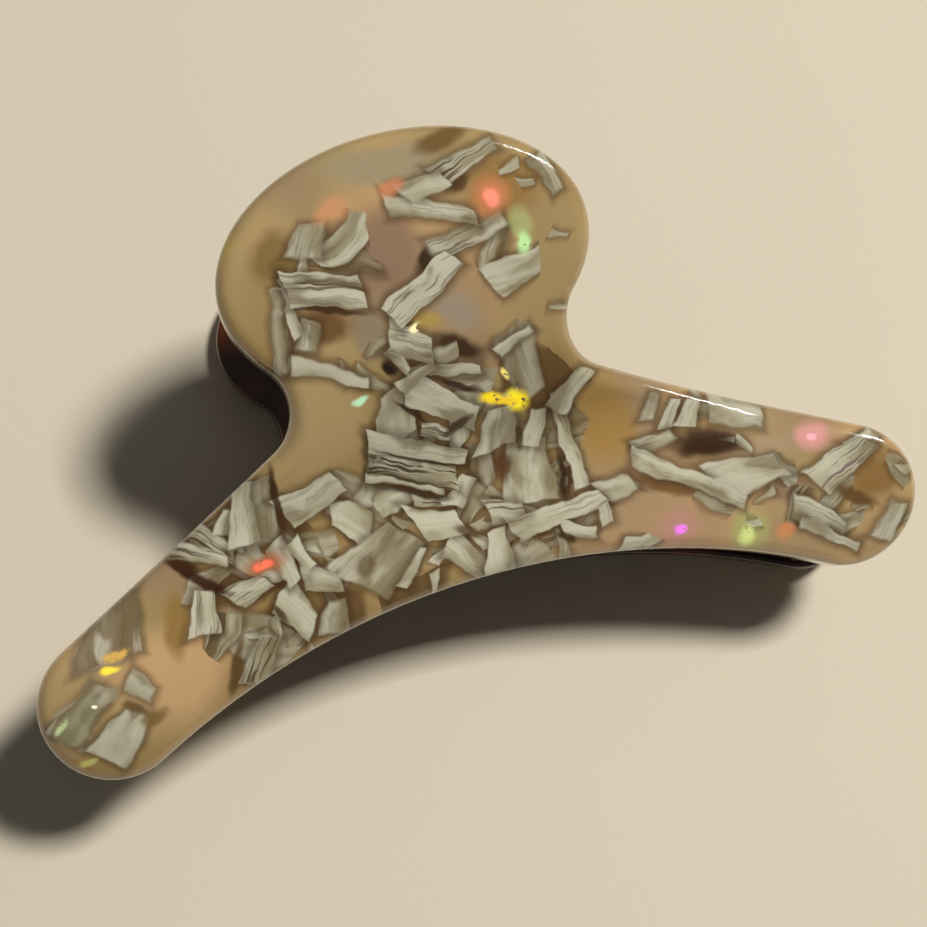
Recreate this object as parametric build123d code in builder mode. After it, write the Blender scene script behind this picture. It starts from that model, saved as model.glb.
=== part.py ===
"""Claw clip: two bent acetate jaws on a spring hinge.

Lengths are millimetres and angles are degrees. Two sets of axes are used. The part's own frame
has +Z up from the table that the closed clip lies on, +X along the hinge pin, and its origin in
the middle of the footprint. The clip axes start on the hinge pin: x along the pin, u towards the
thumb paddles and w out through the front jaw. They lean back by `lean`, because the clip lies on
the belly and the paddle of its rear jaw.

The rear jaw is the front jaw turned half a turn about the u axis, so each shape is made once and
is placed by the planes of its jaw.
"""
from math import acos, asin, atan2, cos, degrees, hypot, pi, radians, sin, sqrt
import os

from build123d import *

# ---- driving dimensions: outline of a jaw, seen along w ----
paddle_half_width = 18.5
paddle_half_height = 12.3
paddle_centre = 19.5          # u of the middle of the oval thumb paddle
neck_fillet = 4.8             # between the paddle and the arms
arm_droop = 27.7              # fall of the upper edge of each arm
wing_centre_x = 38.5          # round end of each arm
wing_centre = -14.2           # u of that round end
wing_radius = 7.25
arch_top = -12.05             # u of the lower edge in the middle

# ---- driving dimensions: bend of a jaw, seen along x, at the middle of the sheet ----
waist = -2.9                  # u where the jaws are closest
waist_height = 10.3           # w there
waist_radius = 10.0
paddle_rise = 37.5            # slope where the waist runs into the paddle
paddle_radius = 45.0
jaw_rise = 19.0               # slope where the waist runs into the belly
belly_radius = 15.5

# ---- driving dimensions: laminated sheet ----
face_thickness = 2.6          # outer layer
liner_thickness = 1.4         # inner layer
face_rounding = 1.6           # outer rim
liner_rounding = 0.6          # inner rim

# ---- driving dimensions: comb inside each jaw ----
comb_inset = 1.2              # from the arch to the strip
comb_width = 2.6
comb_thickness = 1.5
comb_half_span = 36.5
tine_pitch = 5.4
tines_each_side = 6
tine_base = (2.5, 1.8)        # along the arch, across it
tine_tip = (1.3, 1.0)
tine_bulge = 0.7              # bow of a tine towards the jaw's edge
tine_overlap = 0.8            # reach past the plane between the jaws
tine_stagger = 0.25           # of a pitch, so that the tines of the two jaws interleave
tine_rounding = 0.3           # of the tine's thickness

# ---- driving dimensions: hinge ----
pin_diameter = 2.0
pin_clearance = 0.05          # all round the pin
pin_head_diameter = 4.2
pin_head_height = 1.0
pin_cap_height = 1.6
pin_cap_wall = 0.5            # closed end of the cap
cap_clearance = 0.02
spring_wire = 1.1
spring_inner_diameter = 4.2
spring_turns = 9
spring_gap = 0.12             # between turns
bush_diameter = 3.8
washer_diameter = 5.2
washer_thickness = 0.4
leaf_thickness = 0.8
leaf_low = -2.9               # u of the leaf's two edges
leaf_high = 4.3
eye_radius = 2.5
side_clearance = 0.1          # between neighbours along the pin
leg_reach = 3.0               # u where a spring leg presses on its leaf
leg_clearance = 0.15
screw_diameter = 1.8
screw_head_diameter = 3.4
screw_head_height = 0.9
screw_length = 3.2            # under the head
screw_spacing = 5.0
screw_clearance = 0.05

# ---- bend of the sheet: three arcs that run into each other ----
sheet_thickness = face_thickness + liner_thickness
outer_skin = sheet_thickness / 2
bond_skin = outer_skin - face_thickness
inner_skin = -sheet_thickness / 2
section_overrun = 0.5         # past the outline that cuts the bent section


def polar(centre, radius, angle):
    """Point at `radius` from `centre`, at `angle` from +u towards +w."""
    return (centre[0] + radius * cos(radians(angle)), centre[1] + radius * sin(radians(angle)))


jaw_joint_angle = 90 - jaw_rise
paddle_joint_angle = 90 + paddle_rise
waist_sweep = jaw_rise + paddle_rise
paddle_sweep = paddle_rise + 10
waist_arc_centre = (waist, waist_height + waist_radius)
belly_arc_centre = polar(waist_arc_centre, -(waist_radius + belly_radius), jaw_joint_angle)
paddle_arc_centre = polar(waist_arc_centre, -(waist_radius + paddle_radius), paddle_joint_angle)


def skin_height(u, skin, centre, radius, side):
    """w at `u` on the skin that is `skin` outside the middle of the sheet."""
    return centre[1] + side * sqrt((radius + side * skin) ** 2 - (u - centre[0]) ** 2)


# ---- stack along the pin, from the middle of the spring outwards ----
coil_pitch = spring_wire + spring_gap
coil_mean_radius = (spring_inner_diameter + spring_wire) / 2
spring_half_length = (spring_turns * coil_pitch + spring_wire) / 2
washer_place = spring_half_length + side_clearance
inner_ear = washer_place + washer_thickness + side_clearance + leaf_thickness
outer_ear = inner_ear + side_clearance + leaf_thickness
pin_in_cap = pin_cap_height - pin_cap_wall
under_leaf = waist_radius - inner_skin + leaf_thickness + leg_clearance + spring_wire / 2

# ---- how the closed clip lies: the plane that touches the belly and the paddle of the rear jaw ----
belly_touch_radius = belly_radius + outer_skin
paddle_touch_radius = paddle_radius + outer_skin
between_u = paddle_arc_centre[0] - belly_arc_centre[0]
between_w = paddle_arc_centre[1] - belly_arc_centre[1]
touch_angle = degrees(
    atan2(between_w, between_u)
    + acos((belly_touch_radius - paddle_touch_radius) / hypot(between_u, between_w))
)
lean = touch_angle - 90
pin_height = (
    belly_arc_centre[0] * cos(radians(touch_angle))
    + belly_arc_centre[1] * sin(radians(touch_angle))
    + belly_touch_radius
)


def rim_centre(u_edge, inward, centre, radius):
    """Centre of the rim's rounding where the edge of the sheet runs along x at `u_edge`."""
    u = u_edge + inward * face_rounding
    return (u, centre[1] + sqrt((radius - face_rounding) ** 2 - (u - centre[0]) ** 2))


def footprint_y(u, w):
    """Y of a point in clip axes, before the origin is put in the middle of the footprint."""
    return u * cos(radians(lean)) - w * sin(radians(lean))


paddle_rim = rim_centre(paddle_centre + paddle_half_height, -1, paddle_arc_centre, paddle_touch_radius)
wing_rim = rim_centre(wing_centre - wing_radius, 1, belly_arc_centre, belly_touch_radius)
back_of_footprint = footprint_y(paddle_rim[0], -paddle_rim[1]) + face_rounding
front_of_footprint = footprint_y(wing_rim[0], wing_rim[1]) - face_rounding
pin_place = Vector(0, -(back_of_footprint + front_of_footprint) / 2, pin_height)
u_direction = Vector(0, cos(radians(lean)), sin(radians(lean)))
w_direction = Vector(0, -sin(radians(lean)), cos(radians(lean)))
JAWS = {"front": 1, "rear": -1}


def face_plane(jaw):
    """Plane between the jaws, with (x, u) axes, facing out through `jaw`."""
    side = JAWS[jaw]
    return Plane(origin=pin_place, x_dir=(side, 0, 0), z_dir=w_direction * side)


def side_plane(jaw):
    """Plane across the pin, with (u, w) axes, w being positive on the side of `jaw`."""
    return Plane(origin=pin_place, x_dir=u_direction, z_dir=(JAWS[jaw], 0, 0))


def save(piece, label):
    piece.part.label = label
    export_step(piece.part, f"parts/{label}.step")


# ---- shapes that the pieces share ----
arch_drop = wing_centre - arch_top
arch_radius = (wing_centre_x**2 + arch_drop**2 - wing_radius**2) / (2 * (wing_radius - arch_drop))
arch_centre = (0, arch_top - arch_radius)
wing_turn = degrees(atan2(wing_centre - arch_centre[1], wing_centre_x))


def jaw_outline():
    """Keyhole outline of a jaw, in (x, u): oval paddle, neck, drooping arms and arch."""
    wing = (wing_centre_x, wing_centre)
    arm_end = polar(wing, wing_radius, 90 - arm_droop)
    ridge = (0, arm_end[1] + arm_end[0] * sin(radians(arm_droop)) / cos(radians(arm_droop)))
    with BuildSketch(mode=Mode.PRIVATE) as outline:
        with BuildLine():
            Line(ridge, arm_end)
            CenterArc(wing, wing_radius, 90 - arm_droop, wing_turn + arm_droop - 270)
            CenterArc(arch_centre, arch_radius, wing_turn, 90 - wing_turn)
            Line((0, arch_top), ridge)
        make_face()
        mirror(about=Plane.YZ)
        with Locations((0, paddle_centre)):
            Ellipse(paddle_half_width, paddle_half_height)
        corners = outline.vertices().filter_by_position(Axis.Y, 0, paddle_centre, inclusive=(False, False))
        fillet(corners.filter_by_position(Axis.X, -paddle_half_width, paddle_half_width), neck_fillet)
    return outline.sketch


def bent_sheet(low_skin, high_skin, lowest=wing_centre - wing_radius):
    """Section across the pin, in (u, w), of a layer between two skins, down to u = `lowest`."""
    belly_reach = (belly_arc_centre[0] - lowest + section_overrun) / (belly_radius + low_skin)
    belly_sweep = jaw_rise + degrees(asin(belly_reach))
    with BuildSketch(mode=Mode.PRIVATE) as section:
        with BuildLine():
            ends = []
            for skin in (low_skin, high_skin):
                belly = CenterArc(belly_arc_centre, belly_radius + skin, jaw_joint_angle, belly_sweep)
                CenterArc(waist_arc_centre, waist_radius - skin, jaw_joint_angle + 180, waist_sweep)
                paddle = CenterArc(paddle_arc_centre, paddle_radius + skin, paddle_joint_angle, -paddle_sweep)
                ends.append((belly @ 1, paddle @ 1))
            Line(ends[0][0], ends[1][0])
            Line(ends[0][1], ends[1][1])
        make_face()
    return section.sketch


def layer(jaw, low_skin, high_skin):
    """One layer of the sheet, bent and cut to the outline, with square edges."""
    with BuildPart() as blank:
        with BuildSketch(side_plane(jaw)):
            add(bent_sheet(low_skin, high_skin))
        extrude(amount=wing_centre_x + 2 * wing_radius, both=True)
        with BuildSketch(face_plane(jaw)):
            add(jaw_outline())
        extrude(amount=paddle_radius, mode=Mode.INTERSECT)
    return blank.part


def skin_rim(piece, skin):
    """Edges where the skin of that offset meets the rim of the sheet."""
    radii = (belly_radius + skin, waist_radius - skin, paddle_radius + skin)
    rim = ShapeList()
    for face in piece.faces().filter_by(GeomType.CYLINDER):
        along_pin = face.axis_of_rotation.is_parallel(Axis.X)
        if along_pin and min(abs(face.radius - radius) for radius in radii) < 0.01:
            rim += face.edges().filter_by(Axis.X, reverse=True)
    return rim


def screw_planes(jaw):
    """Planes on the leaf's inner side, facing the pin, one for each screw."""
    middle = (leaf_low + leaf_high) / 2 - waist
    angle = degrees(asin(middle / (waist_radius + outer_skin))) - 90
    seat = polar(waist_arc_centre, waist_radius - inner_skin + leaf_thickness, angle)
    towards_pin = polar((0, 0), 1, angle)
    side = side_plane(jaw)
    normal = side.from_local_coords(Vector(*towards_pin, 0)) - side.origin
    planes = []
    for place in (-screw_spacing / 2, screw_spacing / 2):
        origin = side.from_local_coords(Vector(*seat, place))
        planes.append(Plane(origin=origin, x_dir=Vector(1, 0, 0), z_dir=normal))
    return planes


def screw_holes(jaw):
    """Blind holes for the leaf's screws, from under their heads into the face plate."""
    with BuildPart() as holes:
        with BuildSketch(*screw_planes(jaw)):
            Circle(screw_diameter / 2 + screw_clearance)
        extrude(amount=-screw_length - screw_clearance)
    return holes.part


def make_face_plate(jaw):
    """Outer layer of a jaw, with a well rounded rim."""
    with BuildPart() as face_plate:
        add(layer(jaw, bond_skin, outer_skin))
        fillet(skin_rim(face_plate, outer_skin), face_rounding)
        add(screw_holes(jaw), mode=Mode.SUBTRACT)
    save(face_plate, f"{jaw}_face_plate")


def make_liner(jaw):
    """Inner layer of a jaw, bonded to the face plate."""
    with BuildPart() as liner:
        add(layer(jaw, inner_skin, bond_skin))
        fillet(skin_rim(liner, inner_skin), liner_rounding)
        add(screw_holes(jaw), mode=Mode.SUBTRACT)
    save(liner, f"{jaw}_liner")


def tine(jaw, place):
    """One curved, tapered tine of a comb, at `place` along x."""
    across = arch_centre[1] + sqrt((arch_radius + comb_inset + comb_width / 2) ** 2 - place**2)
    root = skin_height(across, inner_skin - comb_thickness / 2, belly_arc_centre, belly_radius, 1)
    half_length = (root + tine_overlap) / 2
    bow_radius = (half_length**2 + tine_bulge**2) / (2 * tine_bulge)
    bow_centre = (across + bow_radius - tine_bulge, root - half_length)
    half_turn = degrees(asin(half_length / bow_radius))
    side = side_plane(jaw)
    with BuildPart() as curved:
        for turn, share in ((-half_turn, 0), (0, 0.5), (half_turn, 1)):
            along = tine_base[0] + share * (tine_tip[0] - tine_base[0])
            thick = tine_base[1] + share * (tine_tip[1] - tine_base[1])
            origin = side.from_local_coords(Vector(*polar(bow_centre, -bow_radius, turn), place))
            heading = side.from_local_coords(Vector(*polar((0, 0), 1, turn - 90), 0)) - side.origin
            with BuildSketch(Plane(origin=origin, x_dir=side.z_dir, z_dir=heading)):
                RectangleRounded(along, thick, tine_rounding * thick)
        loft()
    return curved.part


def make_comb(jaw):
    """Strip bonded inside the arch, with tines that reach in between those opposite."""
    strip_radius = arch_radius + comb_inset
    strip_end = arch_centre[1] + sqrt(strip_radius**2 - comb_half_span**2)
    with BuildPart() as comb:
        with BuildSketch(side_plane(jaw)):
            add(bent_sheet(inner_skin - comb_thickness, inner_skin, strip_end))
        extrude(amount=comb_half_span, both=True)
        with BuildSketch(face_plane(jaw)):
            with Locations(arch_centre):
                Circle(strip_radius + comb_width)
                Circle(strip_radius, mode=Mode.SUBTRACT)
            Rectangle(2 * comb_half_span, arch_radius, align=(Align.CENTER, Align.MAX), mode=Mode.INTERSECT)
            fillet(vertices(), comb_width / 3)
        extrude(amount=paddle_radius, mode=Mode.INTERSECT)
        for number in range(-tines_each_side, tines_each_side + 1):
            add(tine(jaw, (number + tine_stagger) * tine_pitch))
    save(comb, f"{jaw}_comb")


def make_leaf(jaw):
    """Steel leaf screwed to the liner, with an inner ear at one end and an outer ear at the other."""
    low = (leaf_low, skin_height(leaf_low, inner_skin, waist_arc_centre, waist_radius, -1))
    high = (leaf_high, skin_height(leaf_high, inner_skin, waist_arc_centre, waist_radius, -1))
    with BuildSketch(mode=Mode.PRIVATE) as ear:
        Circle(eye_radius)
        with BuildLine():
            Polyline((0, 0), low, high, close=True)
        make_face()
        make_hull()
        with Locations(waist_arc_centre):
            Circle(waist_radius - inner_skin, mode=Mode.SUBTRACT)
        Circle(pin_diameter / 2 + pin_clearance, mode=Mode.SUBTRACT)
    with BuildPart() as leaf:
        with BuildSketch(side_plane(jaw)):
            add(bent_sheet(inner_skin - leaf_thickness, inner_skin, belly_arc_centre[0]))
        extrude(amount=outer_ear, both=True)
        with BuildSketch(face_plane(jaw)):
            with Locations(((inner_ear - outer_ear) / 2, (leaf_low + leaf_high) / 2)):
                Rectangle(inner_ear + outer_ear, leaf_high - leaf_low)
        extrude(amount=waist_height, mode=Mode.INTERSECT)
        for place in (-outer_ear, inner_ear - leaf_thickness):
            with BuildSketch(side_plane(jaw).offset(place)):
                add(ear.sketch)
            extrude(amount=leaf_thickness)
        add(screw_holes(jaw), mode=Mode.SUBTRACT)
    save(leaf, f"{jaw}_hinge_leaf")


def make_leaf_screws(jaw):
    """Two pan-head screws of a leaf, one node."""
    with BuildPart() as screws:
        for plane in screw_planes(jaw):
            with BuildSketch(plane):
                Circle(screw_diameter / 2)
            extrude(amount=-screw_length)
            with BuildSketch(plane):
                Circle(screw_head_diameter / 2)
            extrude(amount=screw_head_height)
    save(screws, f"{jaw}_leaf_screws")


def make_hinge_pin():
    """Pin through all four ears, with a head at its +x end."""
    with BuildPart() as pin:
        with BuildSketch(across_pin.offset(-outer_ear - side_clearance - pin_in_cap)):
            Circle(pin_diameter / 2)
        extrude(amount=2 * (outer_ear + side_clearance) + pin_in_cap)
        with BuildSketch(across_pin.offset(outer_ear + side_clearance)):
            Circle(pin_head_diameter / 2)
        extrude(amount=pin_head_height)
        fillet(pin.edges().filter_by(GeomType.CIRCLE).sort_by(Axis.X)[-1], pin_head_height / 2)
    save(pin, "hinge_pin")


def make_pin_cap():
    """Cap pressed on the plain end of the pin."""
    with BuildPart() as cap:
        with BuildSketch(across_pin.offset(-outer_ear - side_clearance - pin_cap_height)):
            Circle(pin_head_diameter / 2)
        extrude(amount=pin_cap_height)
        fillet(cap.edges().filter_by(GeomType.CIRCLE).sort_by(Axis.X)[0], pin_head_height / 2)
        with BuildSketch(across_pin.offset(-outer_ear - side_clearance)):
            Circle(pin_diameter / 2 + cap_clearance)
        extrude(amount=-pin_in_cap - cap_clearance, mode=Mode.SUBTRACT)
    save(cap, "pin_cap")


def make_spring_bush():
    """Sleeve that keeps the spring centred on the pin."""
    with BuildPart() as bush:
        with BuildSketch(across_pin):
            Circle(bush_diameter / 2)
            Circle(pin_diameter / 2 + pin_clearance, mode=Mode.SUBTRACT)
        extrude(amount=spring_half_length, both=True)
    save(bush, "spring_bush")


def make_washer(name, place):
    """Washer between one end of the spring and the ear beside it."""
    with BuildPart() as washer:
        with BuildSketch(across_pin.offset(place)):
            Circle(washer_diameter / 2)
            Circle(pin_diameter / 2 + pin_clearance, mode=Mode.SUBTRACT)
        extrude(amount=washer_thickness)
    save(washer, f"{name}_washer")


def make_torsion_spring():
    """Close-wound coil round the bush, with a straight leg against each leaf.

    Each leg leaves the far side of the coil and crosses over it, so that squeezing the paddles
    winds the coil tighter. The legs run on along the coil's own tangents.
    """
    press_u = leg_reach
    press_w = waist_arc_centre[1] - sqrt(under_leaf**2 - (leg_reach - waist) ** 2)
    press_distance = hypot(press_u, press_w)
    leave_angle = degrees(atan2(press_w, press_u) + acos(coil_mean_radius / press_distance))
    coil_length = coil_pitch * (spring_turns - leave_angle / 180)
    climb = atan2(coil_pitch, 2 * pi * coil_mean_radius)
    leg_length = sqrt(press_distance**2 - coil_mean_radius**2) / cos(climb)
    first_end = u_direction * cos(radians(leave_angle)) - w_direction * sin(radians(leave_angle))
    coil_start = Plane(pin_place - Vector(coil_length / 2, 0, 0), x_dir=first_end, z_dir=(1, 0, 0))
    coil = coil_start.from_local_coords(Helix(coil_pitch, coil_length, coil_mean_radius, lefthand=True))
    rear_leg = Line(coil @ 0 - (coil % 0) * leg_length, coil @ 0)
    front_leg = Line(coil @ 1, coil @ 1 + (coil % 1) * leg_length)
    wire = Wire([rear_leg, coil, front_leg])
    with BuildPart() as spring:
        with BuildSketch(Plane(origin=wire @ 0, z_dir=wire % 0)):
            Circle(spring_wire / 2)
        sweep(path=wire)
    save(spring, "torsion_spring")


across_pin = Plane(origin=pin_place, x_dir=u_direction, z_dir=(1, 0, 0))
os.makedirs("parts", exist_ok=True)
for jaw in JAWS:
    make_face_plate(jaw)
    make_liner(jaw)
    make_comb(jaw)
    make_leaf(jaw)
    make_leaf_screws(jaw)
make_hinge_pin()
make_pin_cap()
make_spring_bush()
make_washer("left", -washer_place - washer_thickness)
make_washer("right", washer_place)
make_torsion_spring()
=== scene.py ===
"""Looks of the claw clip: shell-flake acetate jaws, dark amber liners and combs, and a steel hinge.

Everything is in metres in the part's own frame. The finishes are drawn in the clip axes, in
millimetres from the hinge pin: x along the pin, u towards the thumb paddles, w out through the
front jaw.
"""
import math

import bpy
from mathutils import Euler, Matrix, Vector


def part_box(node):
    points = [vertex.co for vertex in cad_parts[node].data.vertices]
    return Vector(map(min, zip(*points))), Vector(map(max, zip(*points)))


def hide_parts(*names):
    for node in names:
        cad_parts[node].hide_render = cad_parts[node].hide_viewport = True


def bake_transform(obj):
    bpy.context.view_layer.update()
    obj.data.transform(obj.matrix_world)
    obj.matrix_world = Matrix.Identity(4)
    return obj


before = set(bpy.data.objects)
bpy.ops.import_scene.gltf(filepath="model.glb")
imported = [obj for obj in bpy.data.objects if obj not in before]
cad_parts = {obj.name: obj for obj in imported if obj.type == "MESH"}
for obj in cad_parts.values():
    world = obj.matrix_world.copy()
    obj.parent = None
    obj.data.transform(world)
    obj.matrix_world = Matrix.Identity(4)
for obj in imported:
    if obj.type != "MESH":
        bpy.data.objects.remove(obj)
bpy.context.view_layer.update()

# ---- clip axes, as the solids have them ----
MILLIMETRES = 1000              # to the metre
LEAN = math.radians(14.72)      # of the closed clip on the table
pin_place = (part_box("spring_bush")[0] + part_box("spring_bush")[1]) / 2

PUSH = (0.03, 0.02, 0.0)        # millimetres that a flake moves the pattern over it
BLACK = (0, 0, 0, 1)


def tint(red, green, blue):
    """Linear colour of a finish that is given as it shows, from 0 to 255."""
    shares = [value / 255 for value in (red, green, blue)]
    return [s / 12.92 if s <= 0.04045 else ((s + 0.055) / 1.055) ** 2.4 for s in shares] + [1.0]


class Value:
    """A number that varies over a surface. Python operators on it add Math nodes."""

    def __init__(self, board, socket):
        self.board = board
        self.socket = socket

    def calculate(self, operation, *others, after=None):
        """Result of a Math node on this value and the others, or on `after` and this value."""
        values = [self, *others] if after is None else [after, self]
        inputs = dict(enumerate(values))
        made = self.board.node("ShaderNodeMath", {"operation": operation}, inputs)
        return Value(self.board, made.outputs[0])

    def __add__(self, other):
        return self.calculate("ADD", other)

    __radd__ = __add__

    def __mul__(self, other):
        return self.calculate("MULTIPLY", other)

    __rmul__ = __mul__

    def __sub__(self, other):
        return self.calculate("SUBTRACT", other)

    def __rsub__(self, other):
        return self.calculate("SUBTRACT", after=other)

    def __truediv__(self, other):
        return self.calculate("DIVIDE", other)

    def __rtruediv__(self, other):
        return self.calculate("DIVIDE", after=other)

    def __abs__(self):
        return self.calculate("ABSOLUTE")

    def __lt__(self, other):
        return self.calculate("LESS_THAN", other)

    def __gt__(self, other):
        return self.calculate("GREATER_THAN", other)

    def larger(self, other):
        """The larger of the two."""
        return self.calculate("MAXIMUM", other)

    def fraction(self):
        """What follows the decimal point."""
        return self.calculate("FRACT")

    def between(self, low, high):
        """0 up to low and 1 from high on, with a soft step from one to the other."""
        settings = {"interpolation_type": "SMOOTHSTEP", "clamp": False}
        made = self.board.node("ShaderNodeMapRange", settings, {0: self, 1: low, 2: high})
        return Value(self.board, made.outputs[0])


class Board:
    """A node tree that is being built. Nodes come from node() and from expressions on values."""

    tree = None

    def node(self, kind, settings=None, sockets=None):
        """A node of that kind: its settings first, a ramp's stops included, then its inputs."""
        made = self.tree.nodes.new(kind)
        for name, value in (settings or {}).items():
            if name == "stops":
                ramp = made.color_ramp.elements
                while len(ramp) < len(value):
                    ramp.new(1.0)
                for element, (position, colour) in zip(ramp, value):
                    element.position = position
                    element.color = colour
            else:
                setattr(made, name, value)
        for name, value in (sockets or {}).items():
            if isinstance(value, Value):
                value = value.socket
            if isinstance(value, bpy.types.NodeSocket):
                self.tree.links.new(value, made.inputs[name])
            else:
                made.inputs[name].default_value = value
        return made

    def vector(self, operation, a, b):
        """Vector that the operation makes of vectors a and b."""
        made = self.node("ShaderNodeVectorMath", {"operation": operation}, {0: a, 1: b})
        return made.outputs[0]

    def stretched(self, a, factor):
        """Vector a, that many times as long."""
        made = self.node("ShaderNodeVectorMath", {"operation": "SCALE"}, {0: a, "Scale": factor})
        return made.outputs[0]

    def seen_from(self, plan, middle, turn, size):
        """The plan as an oval sees it: from its middle, along its axes, in its half sizes."""
        sockets = {"Vector": plan, "Location": middle, "Rotation": turn, "Scale": size}
        return self.node("ShaderNodeMapping", {"vector_type": "TEXTURE"}, sockets).outputs[0]

    def length(self, vector):
        """How long a vector is."""
        made = self.node("ShaderNodeVectorMath", {"operation": "LENGTH"}, {0: vector})
        return Value(self, made.outputs[1])

    def pushed(self, plan, mask):
        """The plan over a flake: what lies on top of it is pushed aside a little."""
        sockets = {0: mask, 1: PUSH, 2: plan}
        return self.node("ShaderNodeVectorMath", {"operation": "MULTIPLY_ADD"}, sockets).outputs[0]

    def parts(self, vector):
        """The three numbers of a vector."""
        made = self.node("ShaderNodeSeparateXYZ", None, {0: vector})
        return [Value(self, output) for output in made.outputs]

    def noise(self, vector, scale, detail=2.0, roughness=0.5, distortion=0.0):
        """Node of soft noise from 0 to 1, with `scale` waves to each unit of `vector`."""
        sockets = {
            "Vector": vector,
            "Scale": scale,
            "Detail": detail,
            "Roughness": roughness,
            "Distortion": distortion,
        }
        return self.node("ShaderNodeTexNoise", None, sockets)

    def grain(self, vector, scale, **more):
        """Soft noise as a number."""
        return Value(self, self.noise(vector, scale, **more).outputs[0])

    def mix(self, factor, a, b):
        """Colour a with colour b over it by that factor."""
        settings = {"data_type": "RGBA", "clamp_factor": True}
        return self.node("ShaderNodeMix", settings, {0: factor, 6: a, 7: b}).outputs[2]

    def ramp(self, value, stops):
        """Colour that runs through the stops, (value, colour) each."""
        return self.node("ShaderNodeValToRGB", {"stops": stops}, {0: value}).outputs[0]

    def bump(self, height, distance, strength):
        """Normal of a surface with that relief, `distance` metres deep."""
        sockets = {"Height": height, "Distance": distance, "Strength": strength}
        return self.node("ShaderNodeBump", None, sockets).outputs[0]


class Finish(Board):
    """A material of the clip, with the places on the solid that its pattern follows."""

    def __init__(self, name, **constants):
        """Constants are inputs of the shader, with _ for each space in their names."""
        self.material = bpy.data.materials.new(name)
        self.material.use_nodes = True
        self.tree = self.material.node_tree
        self.shader = self.tree.nodes["Principled BSDF"]
        for socket, value in constants.items():
            self.shader.inputs[socket.replace("_", " ")].default_value = value
        self.place = self.node("ShaderNodeTexCoord").outputs["Object"]

    def clip_axes(self, scale=None, shift=(0, 0, 0)):
        """(x, u, w) in millimetres from the pin, then scaled and shifted where a scale is given."""
        turn = Euler((-LEAN, 0, 0))
        origin = turn.to_matrix() @ (pin_place * MILLIMETRES)
        upright = self.node(
            "ShaderNodeMapping",
            {"vector_type": "POINT"},
            {
                "Vector": self.place,
                "Location": -origin,
                "Rotation": turn,
                "Scale": (MILLIMETRES,) * 3,
            },
        ).outputs[0]
        if scale is None:
            return upright
        sockets = {"Vector": upright, "Location": shift, "Scale": scale}
        return self.node("ShaderNodeMapping", {"vector_type": "POINT"}, sockets).outputs[0]

    def connect(self, **inputs):
        """Feeds the shader's varying inputs."""
        for name, value in inputs.items():
            socket = value.socket if isinstance(value, Value) else value
            self.tree.links.new(socket, self.shader.inputs[name.replace("_", " ")])


class Recipe(Board):
    """A part of a pattern that is used many times over, as a node group."""

    KINDS = {"number": "NodeSocketFloat", "vector": "NodeSocketVector", "colour": "NodeSocketColor"}

    def __init__(self, name, inputs, outputs):
        self.tree = bpy.data.node_groups.new(name, "ShaderNodeTree")
        for side, sockets in (("INPUT", inputs), ("OUTPUT", outputs)):
            for label, kind in sockets.items():
                self.tree.interface.new_socket(label, in_out=side, socket_type=self.KINDS[kind])
        given = self.node("NodeGroupInput").outputs
        self.given = {
            label: Value(self, given[label]) if kind == "number" else given[label]
            for label, kind in inputs.items()
        }

    def give(self, **results):
        """Ends the recipe with its outputs."""
        self.node("NodeGroupOutput", None, results)

    def use(self, board, **inputs):
        """Outputs of this recipe on another board: numbers as values, the rest as sockets."""
        made = board.node("ShaderNodeGroup", {"node_tree": self.tree}, inputs)
        return {
            out.name: Value(board, out) if out.type == "VALUE" else out for out in made.outputs
        }


def spot(board, plan, centre, half_length, half_width, turn=0.0, low=1.35, high=0.6):
    """1 inside an oval spot of the plan, 0 outside: centre and half sizes in millimetres."""
    middle, size = (*centre, 0), (half_length, half_width, 1)
    local = board.seen_from(plan, middle, (0, 0, math.radians(turn)), size)
    return board.length(local).between(low, high)


def flake_cover(board, plan):
    """Share of the sheet that flakes fill: dense from the paddle through the neck to the arch."""
    middle = spot(board, plan, (-1, -2), 13, 13, low=1.4)
    left = spot(board, plan, (-18, -6), 13, 8, 24)
    right = spot(board, plan, (26, -9), 18, 7, -14, low=1.5, high=0.4) * 0.5
    paddle = spot(board, plan, (0, 20), 15, 9, low=1.5, high=0.4) * 0.12
    clear_neck = spot(board, plan, (-11.5, 6.5), 6, 5)
    clear_side = spot(board, plan, (16.5, -1), 4, 5)
    clear_arm = spot(board, plan, (-28, -12.4), 2.8, 2.2)
    clear = clear_neck.larger(clear_side).larger(clear_arm)
    return (middle.larger(left).larger(right).larger(paddle) + 0.03) * (1 - clear)


# ---- colours of the shell flakes, of the painted shade and highlight on them and of the painted shadows round them ----
DULL_SHELL = tint(112, 98, 66)
GREY_SHELL = tint(160, 152, 122)
PALE_SHELL = tint(206, 203, 180)
# painted shade that darkens the deepest flakes
DEEP_SHELL_SHADE = tint(92, 66, 32)
SHELL_LINES = tint(84, 64, 36)
SHELL_STRIPES = tint(70, 50, 26)
# painted shade and painted highlight on the crumples of the flakes
CREASE_SHADE = tint(118, 103, 70)
CREASE_SHINE = tint(208, 204, 182)
# painted shadows that the flakes cast round themselves
SCATTERED_FLAKE_SHADOW = tint(74, 50, 24)
PLACED_FLAKE_SHADOW = tint(66, 44, 20)


def shell_colour(board, light):
    """Grey-beige shell from dull to pale."""
    lower = board.mix(light.between(0.0, 0.45), DULL_SHELL, GREY_SHELL)
    return board.mix(light.between(0.35, 0.95), lower, PALE_SHELL)


def flake_axes(board, along, across, key, length_scale, width_scale):
    """Place on a flake for its grain, stretched along the flake; the key makes it its own."""
    sockets = {0: along * length_scale, 1: across * width_scale, 2: key}
    return board.node("ShaderNodeCombineXYZ", None, sockets).outputs[0]


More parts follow.
